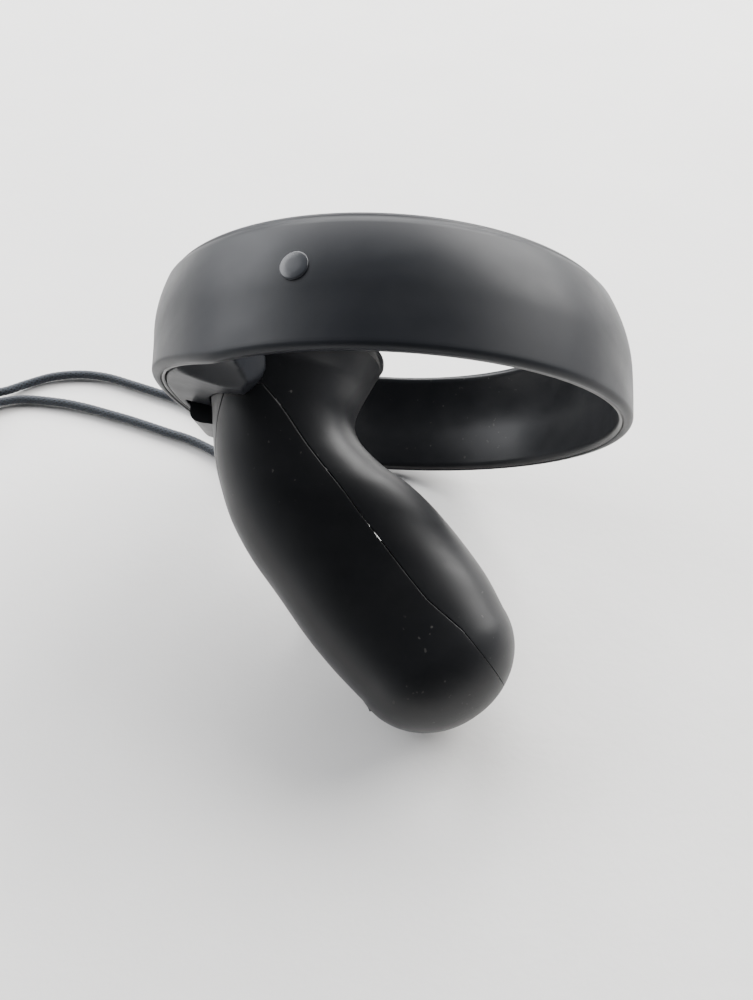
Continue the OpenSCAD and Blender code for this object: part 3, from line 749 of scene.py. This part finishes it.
def make_index_trigger():
    verts, faces = prism(rounded(TRIGGER_SIDE, 1.1, 4), *TRIGGER_X)
    ob = piece("index_paddle", verts, faces, "index_trigger", ["index_trigger"],
               ROW @ ALONG_X)
    face_outwards(ob.data)
    verts, faces = prism(circle(0, 0, TRIGGER_REACH, 256), -30, 30)
    boolean(ob, temp_object("tool", verts, faces), "INTERSECT")
    verts, faces = prism(rounded(TRIGGER_HUB, 0.8, 3), *HUB_X)
    boolean(ob, temp_object("tool", verts, faces, ROW @ ALONG_X), "UNION")
    ob.data.shade_smooth()
    return soften(ob, 0.7)


def make_grip_trigger():
    bm = body_bmesh(-GRIP_PROUD)
    cut_shell(bm, lambda p: box_depth(GRIP_LID_PLANES, p), GRIP_LID_PLANES[1:], 0.0, GRIP_PROUD)
    return finish_shell(bm, "grip_paddle", "grip_trigger", ["grip_trigger"], PADDLE_WALL)


index_piece = make_index_trigger()
grip_piece = make_grip_trigger()

# ---- Thumb plate and controls ----
STICK = (4.5, -7)
PIVOT_Z = -8.5
BUTTONS = {
    "button_upper": (-7, 10, 4.3), "button_lower": (-10.5, -1.5, 4.3), "menu_button": (8, 11.5, 2.4),
}
STICK_HOLE_R, BUTTON_GAP = 8.6, 0.2
DOME_R, DOME_INNER_R = 7.8, 7.1
CAP = [
    (0, -0.5), (2.2, -0.5), (2.2, 4.0), (3, 4.35), (6.6, 4.75), (7.6, 5.05), (8.15, 5.6), (8.2, 6.1),
    (8.2, 6.7), (7.95, 7.4), (7.45, 7.75), (6.9, 7.8), (6.4, 7.68), (5.8, 7.35), (5, 7.1), (3, 6.65),
    (0, 6.5),
]
COLLAR = [
    (6.4, -3.4), (8.6, -3.4), (9.5, -2.9), (9.5, -2), (8.55, -2), (8.55, -0.5), (7.8, -0.55),
    (6.4, -2.6),
]


def dome_arc(r, first, last, step):
    turns = [math.radians(a) for a in range(first, last, step)]
    return [(math.sin(a) * r, PIVOT_Z + math.cos(a) * r) for a in turns]


def button_outline(r):
    flange = [(0, -3.2), (r + 0.8, -3.2), (r + 0.8, -2.1), (r, -2.1)]
    top = [(r, 0.55), (r - 0.06, 0.78), (r - 0.22, 0.93), (r - 0.5, 1.0), (r * 0.5, 0.94), (0, 0.9)]
    return flange + top


def make_controls():
    stick = ROW @ PLATE @ move(STICK[0], STICK[1], 0)
    made = {}
    verts, faces = capped_lathe(CAP, 128)
    made["cap"] = piece("stick_top", verts, faces, "thumbstick", ["thumbstick_cap"], stick)
    dome = dome_arc(DOME_R, 11, 51, 3) + dome_arc(DOME_INNER_R, 44, 11, -3)
    verts, faces = lathe(dome, 96)
    made["dome"] = piece("stick_skirt", verts, faces, "thumbstick", ["stick_dome"], stick)
    verts, faces = lathe(rounded(COLLAR, 0.2, 3), 128)
    made["collar"] = piece("stick_surround", verts, faces, "casing", ["stick_collar"], stick)
    for name, (x, y, r) in BUTTONS.items():
        verts, faces = capped_lathe(button_outline(r), 96)
        made[name] = piece(name + "_cap", verts, faces, name, [name],
                           ROW @ PLATE @ move(x, y, 0))
    for ob in made.values():
        face_outwards(ob.data)
    return made


controls = make_controls()


PLATE_AROUND = 192
PLATE_EDGE = [(0, -2), (0, -0.45), (0.05, -0.25), (0.2, -0.08), (0.45, 0)]


def plate_ring(inset, z):
    rx, ry = HEAD_RX - WALL - PLATE_GAP, HEAD_RY - WALL - PLATE_GAP
    turns = [math.tau * j / PLATE_AROUND for j in range(PLATE_AROUND)]
    return [
        ((rx - inset) * soft_power(math.cos(a)), (ry - inset) * soft_power(math.sin(a)), z)
        for a in turns
    ]


def make_plate():
    """Thumb plate with a rounded edge and holes for the stick and the buttons."""
    n = PLATE_AROUND
    levels = len(PLATE_EDGE) - 1
    verts = [p for inset, z in PLATE_EDGE for p in plate_ring(inset, z)]
    faces = [tuple(range(n))[::-1], tuple(levels * n + j for j in range(n))]
    for i in range(levels):
        for j in range(n):
            k = (j + 1) % n
            faces.append((i * n + j, i * n + k, (i + 1) * n + k, (i + 1) * n + j))
    ob = piece("thumb_plate", verts, faces, "casing", ["face_plate"], ROW @ PLATE)
    face_outwards(ob.data)
    holes = [(*STICK, STICK_HOLE_R)] + [(x, y, r + BUTTON_GAP) for x, y, r in BUTTONS.values()]
    for hole in holes:
        verts, faces = prism(circle(*hole), -6, 6)
        boolean(ob, temp_object("tool", verts, faces, ROW @ PLATE))
    ob.data.shade_smooth()
    return soften(ob, 0.22, 3, 40)


plate_piece = make_plate()


# ---- Materials ----
class Nodes:
    """Small helper that builds a shader tree."""

    def __init__(self, name):
        self.mat = bpy.data.materials.new(name)
        self.mat.use_nodes = True
        self.tree = self.mat.node_tree
        self.shader = self.tree.nodes["Principled BSDF"]
        self.coord = self.tree.nodes.new("ShaderNodeTexCoord")

    def add(self, kind, **values):
        node = self.tree.nodes.new("ShaderNode" + kind)
        for key, value in values.items():
            setattr(node, key, value)
        return node

    def link(self, a, b):
        self.tree.links.new(a, b)

    def noise(self, scale, detail=4, roughness=0.55, stretch=None):
        node = self.add("TexNoise")
        node.inputs["Scale"].default_value = scale
        node.inputs["Detail"].default_value = detail
        node.inputs["Roughness"].default_value = roughness
        source = self.coord.outputs["Object"]
        if stretch:
            mapping = self.add("Mapping")
            mapping.inputs["Rotation"].default_value = stretch[0]
            mapping.inputs["Scale"].default_value = stretch[1]
            self.link(source, mapping.inputs["Vector"])
            source = mapping.outputs["Vector"]
        self.link(source, node.inputs["Vector"])
        return node.outputs["Fac"]

    def ramp(self, fac, low, high, a, b):
        node = self.add("MapRange")
        for key, value in zip(("From Min", "From Max", "To Min", "To Max"), (low, high, a, b)):
            node.inputs[key].default_value = value
        self.link(fac, node.inputs["Value"])
        return node.outputs["Result"]

    def math(self, op, a, b):
        node = self.add("Math", operation=op)
        for i, value in enumerate((a, b)):
            if isinstance(value, (int, float)):
                node.inputs[i].default_value = value
            else:
                self.link(value, node.inputs[i])
        return node.outputs["Value"]

    def mix(self, fac, a, b):
        node = self.add("Mix", data_type="RGBA")
        for key, value in ((6, a), (7, b)):
            if isinstance(value, tuple):
                node.inputs[key].default_value = (*value, 1)
            else:
                self.link(value, node.inputs[key])
        self.link(fac, node.inputs[0])
        return node.outputs[2]

    def bump(self, layers):
        normal = None
        for height, strength, distance in layers:
            node = self.add("Bump")
            node.inputs["Strength"].default_value = strength
            node.inputs["Distance"].default_value = distance
            self.link(height, node.inputs["Height"])
            if normal:
                self.link(normal, node.inputs["Normal"])
            normal = node.outputs["Normal"]
        self.link(normal, self.shader.inputs["Normal"])


def plastic(name, dark, light, rough, grain=9000, grain_strength=0.12, dust=0.0, coat=0.0, spec=0.3):
    """Satin plastic: cloudy colour, worn and smeared sheen, fine grain, hair scratches, some dust."""
    n = Nodes(name)
    cloud = n.noise(60, 5)
    colour = n.mix(n.ramp(cloud, 0.35, 0.65, 0, 1), dark, light)
    if dust:
        specks = n.ramp(n.noise(900, 1, 0.4), 0.735, 0.76, 0, 1)
        patches = n.ramp(n.noise(35, 2), 0.5, 0.68, 0, dust)
        colour = n.mix(n.math("MULTIPLY", specks, patches), colour, (0.32, 0.31, 0.29))
    n.link(colour, n.shader.inputs["Base Color"])
    wear = n.noise(140, 6, 0.6)
    smear = n.noise(25, 3, 0.5, ((0.4, 0.2, 0.9), (1, 6, 1)))
    worn = n.ramp(wear, 0.3, 0.7, *rough)
    smeared = n.ramp(smear, 0.35, 0.65, -0.03, 0.03)
    n.link(n.math("ADD", worn, smeared), n.shader.inputs["Roughness"])
    n.shader.inputs["Specular IOR Level"].default_value = spec
    n.shader.inputs["Coat Weight"].default_value = coat
    n.shader.inputs["Coat Roughness"].default_value = 0.22
    lines = n.ramp(n.noise(260, 2, 0.4, ((0.3, 0.5, 0.2), (1, 22, 1))), 0.66, 0.72, 0, 1)
    n.bump([(n.noise(grain, 2, 0.5), grain_strength, 0.00005), (lines, 0.03, 0.00003)])
    return n.mat


def rubber(name, colour, rough):
    n = Nodes(name)
    faded = tuple(c * 1.35 for c in colour)
    cloud = n.ramp(n.noise(80, 5), 0.35, 0.65, 0, 1)
    n.link(n.mix(cloud, colour, faded), n.shader.inputs["Base Color"])
    n.link(n.ramp(n.noise(200, 4), 0.3, 0.7, rough, rough + 0.12), n.shader.inputs["Roughness"])
    n.shader.inputs["Sheen Weight"].default_value = 0.15
    n.bump([(n.noise(5000, 3), 0.25, 0.00008)])
    return n.mat


def metal(name, colour, rough):
    n = Nodes(name)
    n.shader.inputs["Metallic"].default_value = 1
    dull = tuple(c * 0.8 for c in colour)
    n.link(n.mix(n.noise(120, 4), colour, dull), n.shader.inputs["Base Color"])
    brushed = n.noise(800, 3, 0.5, ((0, 0, 0), (1, 1, 30)))
    n.link(n.ramp(brushed, 0.3, 0.7, rough, rough + 0.15), n.shader.inputs["Roughness"])
    n.bump([(brushed, 0.1, 0.00002)])
    return n.mat


def braid(name):
    """Two sets of strands crossing round the cord, in turns round it and pitches along it, with painted shade
    in the valleys between strands.
    """
    n = Nodes(name)
    uv = n.add("UVMap", uv_map="braid")
    split = n.add("SeparateXYZ")
    n.link(uv.outputs["UV"], split.inputs["Vector"])
    across = n.math("MULTIPLY", split.outputs["X"], BRAID_STRANDS)
    along = n.math("MULTIPLY", split.outputs["Y"], BRAID_STRANDS)
    left = n.math("SINE", n.math("MULTIPLY", n.math("ADD", across, along), math.tau), 0)
    right = n.math("SINE", n.math("MULTIPLY", n.math("SUBTRACT", across, along), math.tau), 0)
    height = n.math("MAXIMUM", left, right)
    fleck = n.noise(2200, 2)
    # Painted shade: the colour follows strand height, darker in the valleys between strands and lighter on
    # their crowns
    tone = n.mix(n.ramp(height, -0.2, 1, 0, 1), (0.005, 0.0065, 0.009), (0.020, 0.026, 0.036))
    n.link(n.mix(n.ramp(fleck, 0.4, 0.7, 0, 0.5), tone, (0.045, 0.054, 0.072)), n.shader.inputs["Base Color"])
    n.shader.inputs["Roughness"].default_value = 0.75
    n.shader.inputs["Sheen Weight"].default_value = 0.25
    n.shader.inputs["Sheen Roughness"].default_value = 0.4
    n.bump([(height, 0.5, 0.00012), (n.noise(9000, 2), 0.3, 0.00005)])
    return n.mat


# Dark and light colour, range of roughness, and what differs from the common plastic
PLASTICS = {
    "ring_plastic": (
        (0.0110, 0.0122, 0.0152), (0.0135, 0.0148, 0.0182), (0.40, 0.47),
        {"grain": 5200, "grain_strength": 0.1, "spec": 0.18}),
    "liner_plastic": (
        (0.006, 0.0065, 0.008), (0.009, 0.0095, 0.011), (0.3, 0.4),
        {"grain": 3000, "grain_strength": 0.22, "dust": 0.15, "spec": 0.33}),
    "badge": ((0.022, 0.024, 0.028), (0.028, 0.030, 0.035), (0.22, 0.28), {}),
    "shell_plastic": (
        (0.0068, 0.0072, 0.0085), (0.0088, 0.0093, 0.011), (0.36, 0.44), {"dust": 0.22}),
    "cover_plastic": (
        (0.0050, 0.0054, 0.0064), (0.0066, 0.0070, 0.0084), (0.38, 0.46), {"dust": 0.22}),
    "plate": (
        (0.010, 0.010, 0.012), (0.013, 0.013, 0.015), (0.22, 0.3), {"coat": 0.3, "dust": 0.4}),
    "trim": ((0.014, 0.014, 0.016), (0.018, 0.018, 0.02), (0.42, 0.5), {}),
    "button": ((0.017, 0.017, 0.019), (0.021, 0.021, 0.023), (0.3, 0.38), {}),
    "trigger": ((0.0068, 0.0072, 0.0085), (0.0088, 0.0093, 0.011), (0.34, 0.42), {}),
    "frame_plastic": ((0.04, 0.042, 0.047), (0.05, 0.052, 0.058), (0.5, 0.6), {}),
    "board": ((0.012, 0.06, 0.035), (0.016, 0.075, 0.045), (0.3, 0.38), {}),
    "flex": ((0.3, 0.14, 0.04), (0.34, 0.17, 0.05), (0.3, 0.4), {}),
    "led": ((0.015, 0.015, 0.025), (0.02, 0.02, 0.03), (0.15, 0.2), {}),
    "cell": ((0.05, 0.2, 0.07), (0.06, 0.24, 0.085), (0.26, 0.32), {}),
}
MATERIALS = {
    name: plastic(name, dark, light, rough, **more)
    for name, (dark, light, rough, more) in PLASTICS.items()
}
MATERIALS["rubber"] = rubber("rubber", (0.014, 0.014, 0.016), 0.62)
MATERIALS["steel"] = metal("steel", (0.55, 0.56, 0.58), 0.28)
MATERIALS["antenna_metal"] = metal("antenna_metal", (0.6, 0.42, 0.2), 0.3)
MATERIALS["cord"] = braid("cord")

PAINT = {
    cord_piece: "cord", shell_piece: "shell_plastic", cover_piece: "cover_plastic",
    ring_piece: "ring_plastic", liner_piece: "liner_plastic", badge_piece: "badge",
    bridge_piece: "ring_plastic", index_piece: "trigger", grip_piece: "trigger",
    plate_piece: "plate", controls["cap"]: "rubber", controls["dome"]: "rubber",
    controls["collar"]: "trim", controls["button_upper"]: "button",
    controls["button_lower"]: "button", controls["menu_button"]: "button",
}
for ob, slot_name in PAINT.items():
    ob.data.materials.clear()
    ob.data.materials.append(MATERIALS[slot_name])

SLOT_OF = {row["node"]: row["material_slot"] for row in frame["record"]["subparts"]}
for node_name, ob in frame["nodes"].items():
    for slot in ob.material_slots:
        slot.material = MATERIALS[SLOT_OF[node_name]]


# ---- Floor, world and lights ----
FLOOR_HALF, FLOOR_STEPS, FLOOR_Z = 1.6, 8, -0.0002


def make_floor():
    steps = [-FLOOR_HALF + 2 * FLOOR_HALF * i / FLOOR_STEPS for i in range(FLOOR_STEPS + 1)]
    verts = [(x, y, FLOOR_Z) for y in steps for x in steps]
    n = len(steps)
    faces = [
        (j * n + i, j * n + i + 1, (j + 1) * n + i + 1, (j + 1) * n + i)
        for j in range(FLOOR_STEPS) for i in range(FLOOR_STEPS)
    ]
    mesh = bpy.data.meshes.new("floor")
    mesh.from_pydata(verts, [], faces)
    ob = loose_object(mesh)
    mat = Nodes("floor")
    tone = mat.ramp(mat.noise(18, 4), 0.3, 0.7, 0, 1)
    colour = mat.mix(tone, (0.80, 0.79, 0.775), (0.84, 0.83, 0.815))
    mat.link(colour, mat.shader.inputs["Base Color"])
    mat.shader.inputs["Roughness"].default_value = 0.7
    mat.bump([(mat.noise(160, 5, 0.6), 0.2, 0.0006)])
    mesh.materials.append(mat.mat)


LIGHT_TARGET = Vector((0, 0, 0.04))


def make_light(name, at, size, power, colour):
    data = bpy.data.lights.new(name, "AREA")
    data.shape = "RECTANGLE"
    data.size, data.size_y = size
    data.energy = power
    data.color = colour
    ob = bpy.data.objects.new(name, data)
    ob.location = at
    ob.rotation_euler = (LIGHT_TARGET - Vector(at)).to_track_quat("-Z", "Y").to_euler()
    COLLECTION.objects.link(ob)


def make_world():
    world = bpy.data.worlds.new("studio")
    world.use_nodes = True
    tree = world.node_tree
    background = tree.nodes["Background"]
    background.inputs["Color"].default_value = (0.93, 0.95, 1.0, 1)
    coord = tree.nodes.new("ShaderNodeTexCoord")
    towards = tree.nodes.new("ShaderNodeVectorMath")
    towards.operation = "DOT_PRODUCT"
    towards.inputs[1].default_value = (0, -0.5, 0.866)
    level = tree.nodes.new("ShaderNodeMapRange")
    for key, value in (("From Min", 0.3), ("From Max", 0.8), ("To Min", 1.0), ("To Max", 0.05)):
        level.inputs[key].default_value = value
    tree.links.new(coord.outputs["Generated"], towards.inputs[0])
    tree.links.new(towards.outputs["Value"], level.inputs["Value"])
    tree.links.new(level.outputs["Result"], background.inputs["Strength"])
    bpy.context.scene.world = world


make_floor()
make_world()
make_light("window", (-0.95, 0.45, 0.62), (0.9, 0.6), 20, (0.97, 0.98, 1.0))
make_light("ceiling", (0.8, 0.75, 0.75), (1.2, 0.9), 46, (1.0, 0.99, 0.97))
make_light("back", (-0.15, 1.35, 0.9), (1.6, 0.8), 44, (1.0, 0.995, 0.985))
